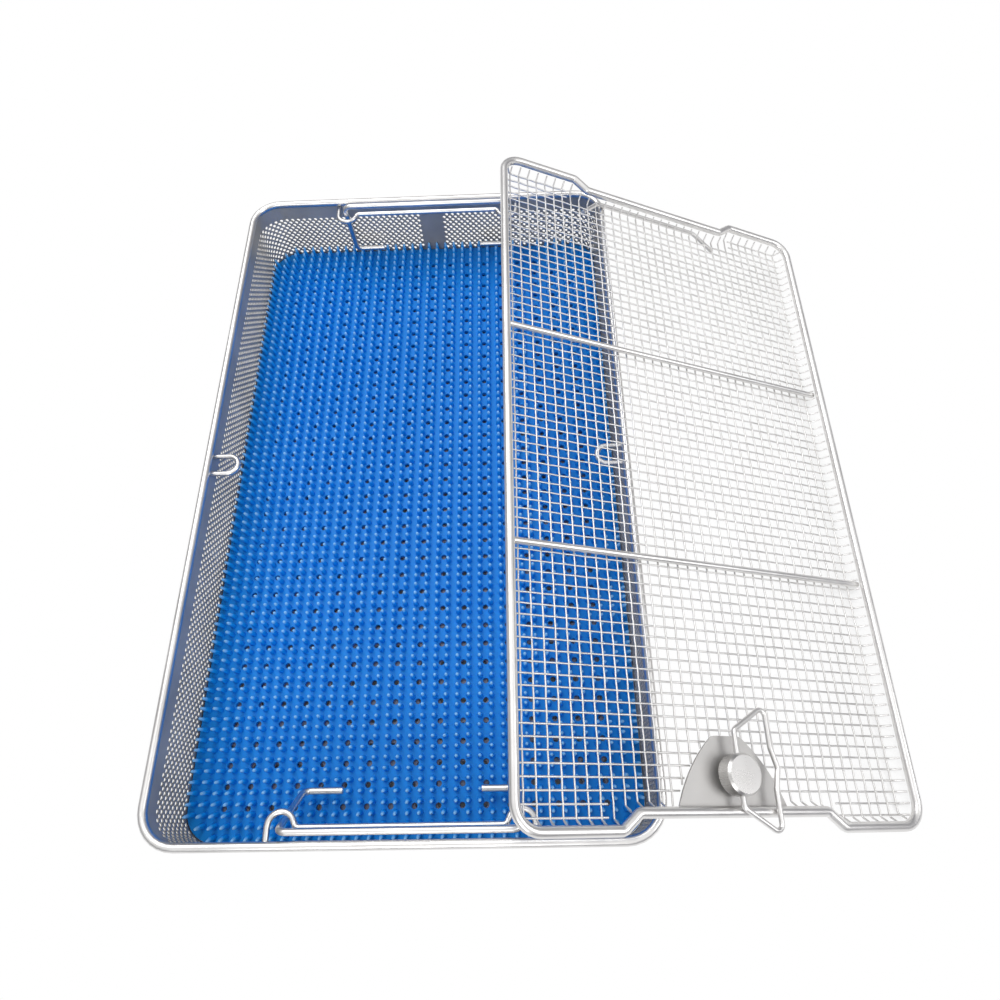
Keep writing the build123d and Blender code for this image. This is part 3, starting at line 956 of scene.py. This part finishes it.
@dataclass
class FingerMat:
    """The silicone mat: a pierced sheet with a close grid of soft fingers."""

    half: tuple[float, float] = (121.7, 205.7)
    corner: float = 17.0
    bottom: float = 1.0
    sheet: float = 2.5
    finger_pitch: tuple[float, float] = (6.38, 5.4)
    columns: int = 38
    rows: int = 76
    finger_height: float = 7.7
    base_radius: float = 1.75
    waist_radius: float = 1.25
    tip_radius: float = 0.8
    hole_radius: float = 1.7
    edge_lean: float = 2.4
    corner_room: float = 14.5
    wander: float = 1.1

    def finger(self) -> bpy.types.Object:
        """One finger: a tapered stub with a rounded tip.

        Returns:
            The finger, standing on the sheet.
        """
        rings = ((self.base_radius, 0.0), (self.waist_radius, 0.5), (self.tip_radius, 0.92))
        points = [(r * math.cos(math.pi * k / 3), r * math.sin(math.pi * k / 3),
                   self.finger_height * share) for r, share in rings for k in range(6)]
        points.append((0.0, 0.0, self.finger_height))
        faces = [(6 * ring + k, 6 * ring + (k + 1) % 6, 6 * ring + 6 + (k + 1) % 6,
                  6 * ring + 6 + k) for ring in range(2) for k in range(6)]
        faces += [(12 + k, 12 + (k + 1) % 6, 18) for k in range(6)]
        return plain_mesh("mat_fingers", points, faces)

    def fingers(self) -> bpy.types.Object:
        """All the fingers, the outer ones leaning out.

        Returns:
            The fingers as one piece.
        """
        tree = Growth("stand_fingers", {
            "Pitch X": self.finger_pitch[0] * MM, "Pitch Y": self.finger_pitch[1] * MM,
            "Base": (self.bottom + self.sheet - 0.05) * MM, "Height": self.finger_height * MM,
            "Edge lean": self.edge_lean * MM, "Wander": self.wander * MM,
            "Half X": (self.columns - 1) / 2 * self.finger_pitch[0] * MM,
            "Half Y": (self.rows - 1) / 2 * self.finger_pitch[1] * MM,
            "Corner X": (self.half[0] - self.corner) * MM,
            "Corner Y": (self.half[1] - self.corner) * MM,
            "Corner room": self.corner_room * MM},
            {"Columns": self.columns, "Rows": self.rows}, Material.SILICONE)
        grid = tree.grid(tree.size("Columns"), tree.size("Rows"),
                         tree.size("Pitch X"), tree.size("Pitch Y"))
        x, y, _ = tree.split(tree.position())
        past = [tree.maths(Maths.MAXIMUM, abs(along) - tree.size(corner), 0.0)
                for along, corner in ((x, "Corner X"), (y, "Corner Y"))]
        room = tree.size("Corner room")
        outside = past[0] * past[0] + past[1] * past[1] > room * room
        kept = tree.out(tree.node("GeometryNodeDeleteGeometry", inputs={
            "Geometry": grid, "Selection": outside}))
        points = tree.moved(kept, tree.join(x, y, tree.size("Base")))
        stood = tree.repeated(tree.stored(points, "middle", tree.position()), tree.start())
        middle_x, middle_y, _ = tree.split(tree.vector("middle"))
        x, y, z = tree.split(tree.position())
        share = (z - tree.size("Base")) / tree.size("Height")
        lift = share * share

        def lean(place_along: Value, half: Value, seed: float) -> Value:
            """How far a finger's tip stands out along one axis."""
            out = place_along / half
            outer = out * out * out * out * out * out * out * out * out
            stir = tree.noise(tree.join(middle_x + seed, middle_y, seed), 45.0, 2.0) - 0.5
            return lift * (outer * tree.size("Edge lean") + 2.0 * stir * tree.size("Wander"))

        leaned = tree.moved(stood, tree.join(x + lean(middle_x, tree.size("Half X"), 0.3),
                                             y + lean(middle_y, tree.size("Half Y"), 1.7), z))
        smooth = tree.out(tree.node("GeometryNodeSetShadeSmooth", inputs={
            "Geometry": leaned, "Shade Smooth": True}))
        return tree.grown(self.finger(), smooth)

    def carrier(self) -> bpy.types.Object:
        """The sheet that carries the fingers, with its drain holes.

        Returns:
            The sheet.
        """
        width, depth = 2 * self.finger_pitch[0], 2 * self.finger_pitch[1]
        columns, rows = self.columns // 2 - 2, self.rows // 2 - 2
        piece = cell("mat_sheet", width, depth, self.sheet,
                     round_hole(self.hole_radius, 8, -45.0), SQUARE_EDGE, False)
        tree = Growth("pierce_mat", {"Pitch X": width * MM, "Pitch Y": depth * MM,
                                     "Middle": (self.bottom + self.sheet / 2) * MM},
                      {"Columns": columns, "Rows": rows}, Material.SILICONE)
        grid = tree.grid(tree.size("Columns"), tree.size("Rows"),
                         tree.size("Pitch X"), tree.size("Pitch Y"))
        x, y, _ = tree.split(tree.position())
        points = tree.moved(grid, tree.join(x, y, tree.size("Middle")))
        made = tree.grown(piece, tree.welded(tree.repeated(points, tree.start())))
        inner = (columns * width / 2, rows * depth / 2)
        border = framed_sheet("mat_border", rounded_outline(*self.half, self.corner), inner,
                              self.bottom, self.bottom + self.sheet, Material.SILICONE)
        return joined(made, [border])

    def make(self) -> None:
        """Build the mat and lay it in the basket."""
        mat = joined(self.carrier(), [self.fingers()])
        mat.name = "silicone_mat"
        place(mat, "basket", "mat", "finger_mat")


@dataclass
class Lid:
    """The woven mesh of the lid, laid where the lid leans."""

    half_u: float = 112.9
    half_v: float = 197.2
    corner: float = 12.0
    end_recess: float = 7.2
    recess_half: float = 53.0
    recess_step: float = 9.0
    pitch_u: float = 6.24
    pitch_v: float = 5.56
    long_wires: int = 35
    cross_wires: int = 70
    frame_wire: float = 5.0
    wire_radius: float = 0.52
    crimp: float = 0.2
    mesh_w: float = -6.85
    touch: float = 1.9
    touch_w: float = -2.386
    rise: float = 2.6
    turn: float = 0.4
    plate_depth: float = 34.0
    plate_half_base: float = 31.5
    plate_half_top: float = 8.0
    plate_swell: float = 3.5
    plate_tuck: float = 2.0
    latch_inset: float = 16.0
    bail_w: float = 4.25

    @property
    def recess_v(self) -> float:
        """Distance from the middle to the set-back end wire."""
        return self.half_v - self.end_recess

    def matrix(self) -> Matrix:
        """Where the lid lies, read from the joints of its latch.

        Returns:
            The lid's own axes in the basket's, in metres.
        """
        turn = next(j for j in frame["joints"] if j["name"] == "latch_turn")
        fold = next(j for j in frame["joints"] if j["name"] == "bail_fold")
        w_axis = -Vector(turn["axis"]).normalized()
        v_axis = -Vector(fold["axis"]).normalized()
        u_axis = v_axis.cross(w_axis)
        centre = Vector(fold["pos_m"]) + v_axis * (self.recess_v - self.latch_inset) * MM
        centre -= w_axis * self.bail_w * MM
        rows = [(u_axis[i], v_axis[i], w_axis[i], centre[i]) for i in range(3)]
        return Matrix([*rows, (0, 0, 0, 1)])

    def end_at(self, u: float) -> float:
        """Distance from the middle to the end wire, at a place across the lid."""
        across = abs(u)
        if across <= self.recess_half:
            return self.recess_v
        if across < self.recess_half + self.recess_step:
            return self.recess_v + self.end_recess * (across - self.recess_half) / self.recess_step
        past = max(across - (self.half_u - self.corner), 0.0)
        return self.half_v - self.corner + math.sqrt(max(self.corner ** 2 - past ** 2, 0.0))

    def side_at(self, v: float) -> float:
        """Distance from the middle to the side wire, at a place along the lid."""
        past = max(abs(v) - (self.half_v - self.corner), 0.0)
        return self.half_u - self.corner + math.sqrt(max(self.corner ** 2 - past ** 2, 0.0))

    def plate_half(self, v: float) -> float:
        """Half the latch plate's width at a place along the lid, or zero off the plate."""
        if v > -(self.recess_v - self.plate_depth) or v < -self.recess_v:
            return 0.0
        share = (-(self.recess_v - self.plate_depth) - v) / self.plate_depth
        half = self.plate_half_top + (self.plate_half_base - self.plate_half_top) * share
        return half + 4 * self.plate_swell * share * (1 - share)

    def plate_start(self, u: float) -> Optional[float]:
        """Where a long wire starts behind the latch plate, or None beside the plate."""
        if abs(u) >= self.plate_half_base + 2 * self.wire_radius:
            return None
        v = -(self.recess_v - self.plate_depth)
        while self.plate_half(v) < abs(u) + self.plate_tuck and v > -self.recess_v:
            v -= 0.25
        return min(v, -(self.recess_v - self.plate_depth) - self.plate_tuck)

    def lines(self, name: str, runs: Sequence[tuple[float, float, float, bool, bool]],
              pitch: float, lengthwise: bool, rise: float) -> bpy.types.Object:
        """The lines that a set of parallel wires follows.

        Args:
            name: The object's name.
            runs: Each wire's place, start and end, and whether it turns up at either.
            pitch: Step between crossings.
            lengthwise: Whether the wires run along the lid.
            rise: Width over which a wire turns up to the frame.

        Returns:
            Loose edges, with the share of the weave stored on each point.
        """
        points: list[Point] = []
        edges: list[tuple[int, int]] = []
        weave: list[float] = []
        for at, start, end, start_up, end_up in runs:
            low = start + rise if start_up else start
            high = end - rise if end_up else end
            first = math.ceil(low / (pitch / 2) + 0.5)
            last = math.floor(high / (pitch / 2) - 0.5)
            climb = self.turn / rise * (self.touch_w - self.mesh_w)
            run = [(start, self.touch_w, 0.0), (low - self.turn, self.mesh_w + climb, 0.0),
                   (low + self.turn, self.mesh_w, 0.0)] if start_up else []
            run += [(low + 2 * self.turn, self.mesh_w, 0.0)]
            run += [(k * pitch / 2, self.mesh_w, 1.0) for k in range(first, last + 1)]
            run += [(high - 2 * self.turn, self.mesh_w, 0.0)]
            run += [(high - self.turn, self.mesh_w, 0.0), (
                high + self.turn, self.mesh_w + climb, 0.0), (end, self.touch_w, 0.0)
                ] if end_up else []
            for index, (along, height, share) in enumerate(run):
                points.append((at, along, height) if lengthwise else (along, at, height))
                weave.append(share)
                if index:
                    edges.append((len(points) - 2, len(points) - 1))
        made = plain_mesh(name, points, (), edges)
        mark(made, "weave", weave)
        return made

    def woven(self, name: str, lines: bpy.types.Object, phase: float) -> bpy.types.Object:
        """Weave the lines over and under and give them thickness.

        Args:
            name: The piece's name.
            lines: What the wires follow.
            phase: 1 for the long wires, -1 for the cross wires.

        Returns:
            The wires as one mesh.
        """
        tree = Growth(f"weave_{name}", {
            "Pitch U": self.pitch_u * MM, "Pitch V": self.pitch_v * MM, "Phase": phase,
            "Wave": self.crimp * MM, "Wire radius": self.wire_radius * MM},
            {"Sides": 6}, Material.WEAVE)
        u, v, w = tree.split(tree.position())
        wave = tree.maths(Maths.SINE, v * math.pi / tree.size("Pitch V"))
        wave = wave * tree.maths(Maths.COSINE, u * math.pi / tree.size("Pitch U"))
        lifted = w + wave * tree.size("Wave") * tree.size("Phase") * tree.number("weave")
        bent = tree.moved(tree.start(), tree.join(u, v, lifted))
        curve = tree.out(tree.node("GeometryNodeMeshToCurve", inputs={"Mesh": bent}))
        circle = tree.out(tree.node("GeometryNodeCurvePrimitiveCircle", inputs={
            "Resolution": tree.size("Sides"), "Radius": tree.size("Wire radius")}))
        wires = tree.out(tree.node("GeometryNodeCurveToMesh", inputs={
            "Curve": curve, "Profile Curve": circle, "Fill Caps": True}))
        smooth = tree.out(tree.node("GeometryNodeSetShadeSmooth", inputs={
            "Geometry": wires, "Shade Smooth": True}))
        made = tree.grown(lines, smooth)
        made.data.transform(self.matrix())
        made.name = name
        return made

    def make(self) -> None:
        """Build both sets of wires and lay them in the lid."""
        runs = []
        for i in range(self.long_wires):
            u = (i - (self.long_wires - 1) / 2) * self.pitch_u
            sides = (self.end_at(u - self.wire_radius), self.end_at(u + self.wire_radius))
            slope = (sides[0] - sides[1]) / (2 * self.wire_radius)
            reach = min(sides) - self.touch * math.hypot(1, slope)
            edge = self.plate_start(u)
            start = -reach if edge is None else max(edge, -reach)
            runs.append((u, start, reach, edge is None, True))
        lines = self.lines("long_lines", runs, self.pitch_v, True, self.rise)
        place(self.woven("long_woven_wires", lines, 1.0), "basket", "mesh", "lid_long_wires")
        runs = []
        lobe = self.recess_half + self.recess_step + self.frame_wire / 2
        for j in range(self.cross_wires):
            v = (j - (self.cross_wires - 1) / 2) * self.pitch_v
            side = self.side_at(v) - self.touch
            inner = self.plate_half(v) - self.plate_tuck
            if abs(v) > self.recess_v - self.touch - self.rise:
                inner = lobe
            if inner <= 0:
                runs.append((v, -side, side, True, True))
            else:
                runs += [(v, -side, -inner, True, False), (v, inner, side, False, True)]
        lines = self.lines("cross_lines", runs, self.pitch_u, False, self.rise)
        place(self.woven("cross_woven_wires", lines, -1.0), "basket", "mesh", "lid_cross_wires")


@dataclass(frozen=True)
class Wire:
    """One bent round wire, in the place of the solid that draws it with flats."""

    node: str
    body: str
    diameter: float
    points: tuple[Point, ...]
    bends: tuple[float, ...]
    closed: bool = False
    finish: Material = Material.WIRE
    lie: Matrix = field(default_factory=Matrix)
    sides: int = 16
    steps: int = 8

    def make(self) -> None:
        """Bend the wire, give it thickness and hang it on its body."""
        count = len(self.points)
        edges = [(i, (i + 1) % count) for i in range(count if self.closed else count - 1)]
        line = plain_mesh(f"{self.node}_round", self.points, (), edges)
        bends = self.bends if self.closed else (0.0, *self.bends, 0.0)
        mark(line, "bend", [bend * MM for bend in bends])
        tree = Growth(f"bend_{self.node}", {"Wire radius": self.diameter / 2 * MM},
                      {"Sides": self.sides, "Steps": self.steps}, self.finish)
        path = tree.out(tree.node("GeometryNodeMeshToCurve", inputs={"Mesh": tree.start()}))
        bent = tree.out(tree.node("GeometryNodeFilletCurve", {"mode": "POLY"}, {
            "Curve": path, "Count": tree.size("Steps"), "Radius": tree.number("bend")}))
        circle = tree.out(tree.node("GeometryNodeCurvePrimitiveCircle", inputs={
            "Resolution": tree.size("Sides"), "Radius": tree.size("Wire radius")}))
        tube = tree.out(tree.node("GeometryNodeCurveToMesh", inputs={
            "Curve": bent, "Profile Curve": circle, "Fill Caps": True}))
        smooth = tree.out(tree.node("GeometryNodeSetShadeSmooth", inputs={
            "Geometry": tube, "Shade Smooth": True}))
        made = tree.grown(line, smooth)
        made.data.transform(self.lie)
        place(made, self.body, "wire", self.node)


@dataclass
class BasketWires:
    """The rim, the handle guides, the handles and the side loops."""

    rim: tuple[float, float] = (122.75, 206.75)
    rim_height: float = 49.75
    rim_wire: float = 4.5
    rim_corner: float = 18.0
    face: tuple[float, float] = (122.25, 206.25)
    guide_height: float = 45.9
    guide_wire: float = 3.0
    arch_reach: float = 14.4
    arch_width: float = 12.8
    guide_bend: float = 2.5
    bar_reach: float = 7.4
    handle_half: float = 57.0
    handle_wire: float = 3.5
    handle_foot: float = 20.5
    handle_bend: float = 4.5
    foot_height: float = 13.25
    top_over_guide: float = 5.9
    near_lean: float = 27.2
    near_reach: float = 24.9
    far_lean: float = -5.4
    far_reach: float = 6.6
    loop_reach: float = 16.0
    loop_width: float = 11.5
    loop_middle: float = -3.0

    def rim_of(self) -> Wire:
        """The rim."""
        x, y, z = *self.rim, self.rim_height
        points = ((x, y, z), (-x, y, z), (-x, -y, z), (x, -y, z))
        return Wire("rim_wire", "basket", self.rim_wire, points, (self.rim_corner,) * 4, True)

    def guide(self, name: str, end: int) -> Wire:
        """The guide of one end: a bar with an arch at each end of it.

        Args:
            name: The solid it stands for.
            end: 1 at the far end and -1 at the near end.

        Returns:
            The wire.
        """
        leg = self.handle_half + self.arch_width / 2
        bar = self.handle_half - self.arch_width / 2
        wall, tip = self.face[1], self.face[1] - self.arch_reach
        run = self.face[1] - self.bar_reach
        right = ((bar, run), (bar, tip), (leg, tip), (leg, wall))
        line = [(-x, y) for x, y in reversed(right)] + list(right)
        arch = self.arch_width / 2 - 0.05
        bends = (arch, arch, self.guide_bend, self.guide_bend, arch, arch)
        return Wire(name, "basket", self.guide_wire,
                    tuple((x, end * y, self.guide_height) for x, y in line), bends)

    def handle(self, name: str, end: int, reach: float, lean: float) -> Wire:
        """A drop handle, leaning in its guide.

        Args:
            name: The solid it stands for, and its body.
            end: 1 at the far end and -1 at the near end.
            reach: Wall to foot.
            lean: Its lean in degrees.

        Returns:
            The wire.
        """
        half, foot = self.handle_half, self.handle_half - self.handle_foot
        leg = (self.guide_height - self.foot_height) / math.cos(math.radians(self.near_lean))
        leg += self.top_over_guide
        points = ((-foot, 0, 0), (-half, 0, 0), (-half, 0, leg), (half, 0, leg),
                  (half, 0, 0), (foot, 0, 0))
        spot = Vector((0, end * (self.face[1] - reach), self.foot_height)) * MM
        lie = Matrix.Translation(spot) @ Matrix.Rotation(math.radians(-end * lean), 4, "X")
        return Wire(name, name, self.handle_wire, points, (self.handle_bend,) * 4, lie=lie)

    def loop(self, name: str, side: int) -> Wire:
        """A side loop.

        Args:
            name: The solid it stands for.
            side: 1 on the right and -1 on the left.

        Returns:
            The wire.
        """
        wall, tip = self.face[0], self.face[0] - self.loop_reach
        low, high = (self.loop_middle + s * self.loop_width / 2 for s in (-1, 1))
        line = ((wall, low), (tip, low), (tip, high), (wall, high))
        return Wire(name, "basket", self.guide_wire,
                    tuple((side * x, y, self.guide_height) for x, y in line),
                    (self.loop_width / 2 - 0.05,) * 2)

    def make(self) -> None:
        """Bend every wire of the basket."""
        for wire in (self.rim_of(), self.guide("near_handle_guide", -1),
                     self.guide("far_handle_guide", 1),
                     self.handle("near_handle", -1, self.near_reach, self.near_lean),
                     self.handle("far_handle", 1, self.far_reach, self.far_lean),
                     self.loop("left_side_loop", -1), self.loop("right_side_loop", 1)):
            wire.make()


@dataclass
class LidWires:
    """The frame, the hook and the bail of the lid."""

    lid: Lid
    step_bend: float = 4.0
    hook_wire: float = 3.0
    hook_half: float = 39.0
    hook_flare: float = 13.0
    hook_row: int = 3
    hook_drop: float = 2.0
    hook_inset: float = 2.2
    hook_bend: float = 5.0
    hook_w: float = -9.45
    bail_wire: float = 2.6
    half_run: float = 17.2
    half_bar: float = 29.4
    reach: float = 20.0
    kink: float = 2.7
    kink_half: float = 9.5
    slip: float = 3.0
    bend: float = 3.0
    kink_bend: float = 4.0

    def frame_wire(self) -> Wire:
        """The wire round the lid, its ends set back in the middle."""
        lid = self.lid
        far = ((lid.recess_half, lid.recess_v), (lid.recess_half + lid.recess_step, lid.half_v),
               (lid.half_u, lid.half_v))
        line = [*far, *((u, -v) for u, v in reversed(far)), *((-u, -v) for u, v in far),
                *((-u, v) for u, v in reversed(far))]
        bends = tuple(lid.corner if abs(u) == lid.half_u else self.step_bend for u, _ in line)
        return Wire("lid_frame", "basket", lid.frame_wire, tuple((u, v, 0.0) for u, v in line),
                    bends, True, Material.FRAME, lid.matrix())

    def hook(self) -> Wire:
        """The bar under the far end, its ends turned back under the mesh."""
        lid = self.lid
        last = (lid.cross_wires - 1) / 2 - (self.hook_row - 1)
        back = last * lid.pitch_v - lid.wire_radius
        ahead, low, half = lid.half_v - self.hook_inset, self.hook_w - self.hook_drop, self.hook_half
        points = ((-half - self.hook_flare, back, self.hook_w), (-half, ahead, low),
                  (half, ahead, low), (half + self.hook_flare, back, self.hook_w))
        return Wire("lid_hook_wire", "basket", self.hook_wire, points, (self.hook_bend,) * 2,
                    finish=Material.FRAME, lie=lid.matrix())

    def bail(self) -> Wire:
        """The folding finger wire of the latch."""
        lid = self.lid
        middle = -lid.recess_v + lid.latch_inset + self.slip
        line = ((0, -self.half_run), (0, self.half_run), (self.reach, self.half_bar),
                (self.reach, self.kink_half), (self.reach + self.kink, 0),
                (self.reach, -self.kink_half), (self.reach, -self.half_bar))
        bends = (self.bend,) * 3 + (self.kink_bend,) * 3 + (self.bend,)
        return Wire("latch_bail", "latch_bail", self.bail_wire,
                    tuple((u, middle + v, lid.bail_w) for u, v in line), bends, True,
                    lie=lid.matrix())

    def make(self) -> None:
        """Bend every wire of the lid."""
        for wire in (self.frame_wire(), self.hook(), self.bail()):
            wire.make()


@dataclass
class Steelwork:
    """The turned and cut pieces whose solids stay and only get their finish."""

    finishes: dict[str, Material] = field(default_factory=lambda: {
        "lid_crossbar_far": Material.FRAME, "lid_crossbar_near": Material.FRAME,
        "latch_plate": Material.PLATE, "latch_knob": Material.LATCH,
        "latch_tongue": Material.LATCH})

    def make(self) -> None:
        """Dress each solid."""
        for name, kind in self.finishes.items():
            solid = frame["nodes"][name]
            solid.data.materials.clear()
            solid.data.materials.append(finish_of(kind))
            LOG.info("%s: dressed in %s", name, kind.value)


@dataclass
class Studio:
    """Ground, lamps, surroundings and the camera."""

    focal: float = 696.214
    eye: Point = (58.59, -201.713, 405.133)
    depression: float = 64.532
    yaw: float = -3.19
    roll: float = -4.422
    ground_half: float = 3000.0
    ground_level: float = -2.8

    def ground(self) -> None:
        """Lay the white ground."""
        size, level = self.ground_half, self.ground_level
        made = plain_mesh("ground", [(-size, -size, level), (size, -size, level),
                                     (size, size, level), (-size, size, level)], [(0, 1, 2, 3)])
        made.data.materials.append(finish_of(Material.GROUND))

    def surroundings(self) -> None:
        """Give the world a plain white sky that metal sees with a greyer band."""
        world = bpy.data.worlds.new("sky")
        bpy.context.scene.world = world
        world.use_nodes = True
        world.node_tree.nodes.clear()
        graph = Graph(world.node_tree)
        path = graph.node("ShaderNodeLightPath")
        seen = graph.maths(Maths.MAXIMUM, graph.out(path, "Is Camera Ray"),
                           graph.maths(Maths.MAXIMUM, graph.out(path, "Is Glossy Ray"),
                                       graph.out(path, "Is Transmission Ray")))
        _, _, up = graph.split(graph.out(graph.node("ShaderNodeTexCoord"), "Generated"))
        band = graph.out(graph.node("ShaderNodeValToRGB", {"stops": [
            (0.0, (0.60, 0.60, 0.62)), (0.08, (0.26, 0.26, 0.28)), (0.40, (0.32, 0.32, 0.34)),
            (0.62, (0.80, 0.80, 0.80)), (0.78, (1.0, 1.0, 1.0))]}, {0: up}))
        shine = graph.out(graph.node("ShaderNodeBackground", inputs={
            "Color": band, "Strength": 1.0}))
        sky = graph.out(graph.node("ShaderNodeBackground", inputs={
            "Color": (1.0, 1.0, 1.0, 1.0), "Strength": 0.55}))
        plain = graph.out(graph.node("ShaderNodeBackground", inputs={
            "Color": (1.0, 1.0, 1.0, 1.0), "Strength": 1.0}))
        lit = graph.out(graph.node("ShaderNodeMixShader", inputs={0: seen, 1: sky, 2: shine}))
        mixed = graph.out(graph.node("ShaderNodeMixShader", inputs={
            0: graph.out(path, "Is Camera Ray"), 1: lit, 2: plain}))
        graph.node("ShaderNodeOutputWorld", inputs={"Surface": mixed})

    def lamp(self, name: str, place_at: Point, aim: Point, size: float, power: float) -> None:
        """Hang one soft lamp.

        Args:
            name: Its name.
            place_at: Where it hangs, in metres.
            aim: What it points at, in metres.
            size: Its width, in metres.
            power: Its power in watts.
        """
        data = bpy.data.lights.new(name, "AREA")
        data.shape, data.size, data.energy = "DISK", size, power
        made = bpy.data.objects.new(name, data)
        made.location = place_at
        made.rotation_mode = "QUATERNION"
        made.rotation_quaternion = (Vector(aim) - Vector(place_at)).to_track_quat("-Z", "Y")
        bpy.context.scene.collection.objects.link(made)

    def camera(self) -> None:
        """Set up the camera at the picture's angle."""
        dep, yaw, roll = (math.radians(a) for a in (self.depression, self.yaw, self.roll))
        ahead = Vector((math.sin(yaw) * math.cos(dep), math.cos(yaw) * math.cos(dep),
                        -math.sin(dep)))
        right = ahead.cross(Vector((0, 0, 1))).normalized()
        up = right.cross(ahead)
        turned = right * math.cos(roll) + up * math.sin(roll)
        upright = up * math.cos(roll) - right * math.sin(roll)
        data = bpy.data.cameras.new("camera")
        data.sensor_width = 36.0
        data.lens = 36.0 * self.focal / 1000.0
        data.clip_start, data.clip_end = 0.01, 20.0
        made = bpy.data.objects.new("camera", data)
        spot = Vector(self.eye) * MM
        made.matrix_world = Matrix([(turned[i], upright[i], -ahead[i], spot[i])
                                    for i in range(3)] + [(0, 0, 0, 1)])
        bpy.context.scene.collection.objects.link(made)
        bpy.context.scene.camera = made

    def make(self) -> None:
        """Set the whole studio up."""
        bpy.context.scene.view_settings.view_transform = "Standard"
        self.ground()
        self.surroundings()
        self.lamp("top_lamp", (-0.4, 0.7, 1.4), (0.05, 0.0, 0.0), 1.2, 10.0)
        self.lamp("side_lamp", (1.3, -0.4, 1.1), (0.1, 0.0, 0.0), 0.9, 5.0)
        self.lamp("front_lamp", (-0.2, -1.4, 0.9), (0.05, 0.1, 0.0), 0.9, 5.0)
        self.camera()


def main() -> None:
    """Build the studio and every piece of the basket."""
    logging.basicConfig(level=logging.INFO, format="%(name)s %(message)s")
    Studio().make()
    for part in (Steelwork(), Basket(), BasketWires(), FingerMat(), Lid(), LidWires(Lid())):
        LOG.info("making %s", type(part).__name__)
        part.make()


if __name__ == "__main__":
    main()
